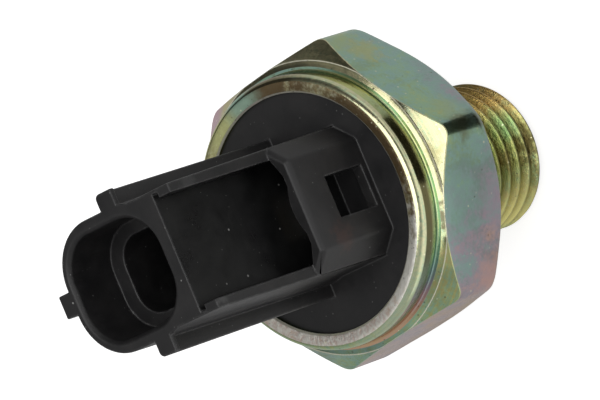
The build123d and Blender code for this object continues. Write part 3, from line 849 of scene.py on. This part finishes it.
# The switch inside keeps its solids
innerShared = {
    "detail": 5.0, "toneRoughness": 0.6, "lineSpan": (0.35, 0.65), "lineTint": 0.25,
    "roughVary": (-0.06, 0.06), "bumpHeight": 0.02,
}
rubberLook = {
    "shades": [(0.0, (0.016, 0.016, 0.016)), (1.0, (0.035, 0.035, 0.035))], "metal": 0.0,
    "rough": 0.6, "scale": 2.0, "fineness": 3.0, "lineDepth": 0.4, "bump": 0.3,
}
innerLooks = {
    "terminal_blade": {"shades": [(0.0, (0.62, 0.60, 0.56)), (1.0, (0.80, 0.79, 0.76))], "metal": 1.0,
                       "rough": 0.28, "scale": 0.8, "fineness": 3.0, "lineDepth": 0.3, "bump": 0.2},
    "contact_plate": {"shades": [(0.0, (0.74, 0.68, 0.54)), (1.0, (0.88, 0.85, 0.78))], "metal": 1.0,
                      "rough": 0.25, "scale": 0.6, "fineness": 5.0, "lineDepth": 1.5, "bump": 0.3},
    "plunger": {"shades": [(0.0, (0.66, 0.62, 0.50)), (1.0, (0.80, 0.76, 0.66))], "metal": 0.0,
                "rough": 0.48, "scale": 1.2, "fineness": 3.0, "lineDepth": 1.0, "bump": 0.3},
    "contact_ring": {"shades": [(0.0, (0.56, 0.56, 0.55)), (1.0, (0.74, 0.74, 0.73))], "metal": 1.0,
                     "rough": 0.32, "scale": 0.5, "fineness": 6.0, "lineDepth": 2.0, "bump": 0.35},
    "diaphragm": {"shades": [(0.0, (0.55, 0.26, 0.03)), (1.0, (0.78, 0.44, 0.08))], "metal": 0.0,
                  "rough": 0.2, "scale": 0.4, "fineness": 1.0, "lineDepth": 0.2, "bump": 0.1},
    "diaphragm_seal": rubberLook,
    "base_seal": rubberLook,
}
for name, look in innerLooks.items():
    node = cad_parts[name]
    node.material_slots[0].material = innerMaterial(name + "_finish", look)
print("inner pieces finished")


# Contact spring: a welded, smooth-shaded copy of the CAD coil with its own finish, in place of the CAD piece. In the
# sender the blade's pad holds its upper end, and the rising plate presses it together from below
spring = {
    "still": 0.5,  # height at each end
    "sharp": 40, "weld": 0.001,
    "shades": [(0.0, (0.62, 0.36, 0.20)), (1.0, (0.82, 0.55, 0.34))], "metal": 1.0,
    "rough": 0.27, "scale": 1.5, "fineness": 6.0, "lineDepth": 0.4, "bump": 0.25,
}


def dressSpring():
    mesh = bmesh.new()
    mesh.from_mesh(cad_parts["contact_spring"].data)
    bmesh.ops.remove_doubles(mesh, verts=mesh.verts, dist=spring["weld"] * mm)
    piece = meshObject("spring_coil", mesh, spring["sharp"])
    piece.data.materials.append(innerMaterial("contact_spring_finish", spring))
    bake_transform(piece)
    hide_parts("contact_spring")


dressSpring()
print("spring made")


# Studio: pale floor, one large soft lamp over the camera's side, and a room that is dim behind the object
studio = {
    "floorSize": 1.6,  # metres
    "floorGap": 0.02, "floorGrey": 0.7, "floorGlow": (0.74, 0.0),  # for camera and glossy rays
    "floorOpen": 0.3,  # the floor is clear to rays this short, so that the stem's end is lit and shows from below
    "floorFar": (37.0, 48.0, 0.5),  # paler for glossy rays: start, full, more strength
    "floorAside": ((25.0, 5.0), (0.0, -20.0)),  # where it is paler, along X and along Y: start, full
    "roomGrey": 0.34,
    "room": (  # share of the height from below to above, brightness
        (0.0, 0.30), (0.5, 0.42), (0.56, 0.36), (0.64, 0.18), (0.8, 0.24), (0.885, 0.56), (1.0, 0.36)),
    "side": (0.15, 0.8, 0.9, 0.6, 0.5),  # paler wall on one side: start, full, upper end, full, brightness
    "dim": (0.12, 0.45, 0.36),  # dimmer wall on the other side: start, full, share that is left
    "dimRise": (-0.1, 0.05),  # height at which it starts and is full
    "window": (0.18, 0.45, 0.35, 0.12, 0.95),  # pale wall on the near side: start, full, upper end, full, brightness
    "lamp": {"direction": (0.09, -0.40, 0.90), "distance": 0.62, "size": (0.68, 0.70), "watts": 2.5},  # metres
    "card": (22.0, 54.0, -100.0, -50.0),  # inner and outer radius, first and last direction
    "cardLift": 0.4, "cardSteps": 12, "cardColour": (0.045, 0.045, 0.035),
}


def makeFloor():
    half = studio["floorSize"] / 2
    mesh = bmesh.new()
    low = cadBox[0].z - studio["floorGap"] * mm
    corners = ((-half, -half), (half, -half), (half, half), (-half, half))
    mesh.faces.new([mesh.verts.new((x, y, low)) for x, y in corners])
    floor = meshObject("floor", mesh)
    material, tree = emptyMaterial("floor_white")
    grey = studio["floorGrey"]
    diffuse = addNode(tree, "ShaderNodeBsdfDiffuse", {"Color": (grey, grey, grey, 1)})
    path = addNode(tree, "ShaderNodeLightPath").outputs
    place = addNode(tree, "ShaderNodeTexCoord").outputs["Object"]
    flat = vectorNode(tree, "MULTIPLY", place, (1, 1, 0))[0]
    reach = addNode(tree, "ShaderNodeVectorMath", {0: flat}, operation="LENGTH").outputs["Value"]
    xyz = axesOf(tree, place)
    (xFrom, xTo), (yFrom, yTo) = studio["floorAside"]
    aside = times(tree, spread(tree, xyz["X"], xFrom * mm, xTo * mm), spread(tree, xyz["Y"], yFrom * mm, yTo * mm))
    forCamera, forGloss = studio["floorGlow"]
    start, full, more = studio["floorFar"]
    forGloss = mathNode(tree, "MULTIPLY_ADD", spread(tree, reach, start * mm, full * mm, 0.0, more), aside, forGloss)
    strength = mathNode(tree, "MULTIPLY_ADD", path["Is Camera Ray"], forCamera,
                        times(tree, path["Is Glossy Ray"], forGloss))
    glow = addNode(tree, "ShaderNodeEmission", {"Color": (1, 1, 1, 1), "Strength": strength})
    lit = addNode(tree, "ShaderNodeAddShader", {0: diffuse.outputs[0], 1: glow.outputs[0]})
    below = addNode(tree, "ShaderNodeNewGeometry").outputs["Backfacing"]
    close = mathNode(tree, "LESS_THAN", path["Ray Length"], studio["floorOpen"] * mm)
    clear = addNode(tree, "ShaderNodeBsdfTransparent")
    endMaterial(tree, addNode(tree, "ShaderNodeMixShader", {
        "Fac": mathNode(tree, "MAXIMUM", below, close), 1: lit.outputs[0], 2: clear.outputs[0]}))
    floor.data.materials.append(material)


def makeCard():  # black card on the floor, out of the picture, that draws the dark lines along a corner and a wall
    mesh = bmesh.new()
    z = cadBox[0].z / mm + studio["cardLift"]
    inner, outer, first, last = studio["card"]
    steps = studio["cardSteps"]
    turns = [radians(first + (last - first) * i / steps) for i in range(steps + 1)]
    near, far = ([mesh.verts.new(Vector((radius * cos(a), radius * sin(a), z)) * mm) for a in turns]
                 for radius in (inner, outer))
    for i in range(steps):
        mesh.faces.new((near[i], far[i], far[i + 1], near[i + 1]))
    card = meshObject("black_card", mesh)
    material, tree = emptyMaterial("card_black")
    endMaterial(tree, addNode(tree, "ShaderNodeBsdfDiffuse", {"Color": (*studio["cardColour"], 1)}))
    card.data.materials.append(material)
    card.visible_camera = False
    card.visible_shadow = False
    card.visible_diffuse = False


def makeWorld():
    world = bpy.data.worlds.new("studio")
    bpy.context.scene.world = world
    world.use_nodes = True
    tree = world.node_tree
    tree.nodes.clear()
    path = addNode(tree, "ShaderNodeLightPath").outputs
    seen = mathNode(tree, "MAXIMUM", path["Is Glossy Ray"], path["Is Transmission Ray"])
    xyz = axesOf(tree, addNode(tree, "ShaderNodeTexCoord").outputs["Generated"])
    height = xyz["Z"]
    backdrop = rampOf(tree, spread(tree, height, -1.0, 1.0), [(at, (v, v, v)) for at, v in studio["room"]])
    sideStart, sideFull, sideEnd, sideTop, pale = studio["side"]
    beside = times(tree, spread(tree, times(tree, xyz["X"], -1.0), sideStart, sideFull),
                   spread(tree, height, sideEnd, sideTop))
    backdrop = mixColours(tree, beside, backdrop, (pale, pale, pale, 1))
    start, full, left = studio["dim"]
    away = times(tree, spread(tree, xyz["X"], start, full), spread(tree, height, *studio["dimRise"]))
    backdrop = mixColours(tree, away, backdrop, (left, left, left, 1), "MULTIPLY")
    start, full, above, level, bright = studio["window"]
    near = spread(tree, times(tree, xyz["Y"], -1.0), start, full)
    low = spread(tree, mathNode(tree, "ABSOLUTE", height), above, level)
    backdrop = mixColours(tree, times(tree, near, low), backdrop, (bright, bright, bright, 1))
    grey = studio["roomGrey"]
    colour = mixColours(tree, seen, (grey, grey, grey, 1), backdrop)
    colour = mixColours(tree, path["Is Camera Ray"], colour, (1, 1, 1, 1))
    background = addNode(tree, "ShaderNodeBackground", {"Color": colour, "Strength": 1.0})
    tree.links.new(background.outputs[0], addNode(tree, "ShaderNodeOutputWorld").inputs[0])


def makeLamp():
    settings = studio["lamp"]
    lamp = bpy.data.lights.new("key", "AREA")
    lamp.shape = "RECTANGLE"
    lamp.energy = settings["watts"]
    lamp.size, lamp.size_y = settings["size"]
    z = Vector(settings["direction"]).normalized()
    x = (Vector((1, 0, 0)) - z * z.x).normalized()
    made = bpy.data.objects.new("key", lamp)
    made.matrix_world = (Matrix.Translation(z * settings["distance"])
                         @ Matrix((x, z.cross(x), z)).transposed().to_4x4())
    bpy.context.collection.objects.link(made)


makeFloor()
makeCard()
makeWorld()
makeLamp()
bpy.context.scene.view_settings.view_transform = "Standard"
print("studio ready")
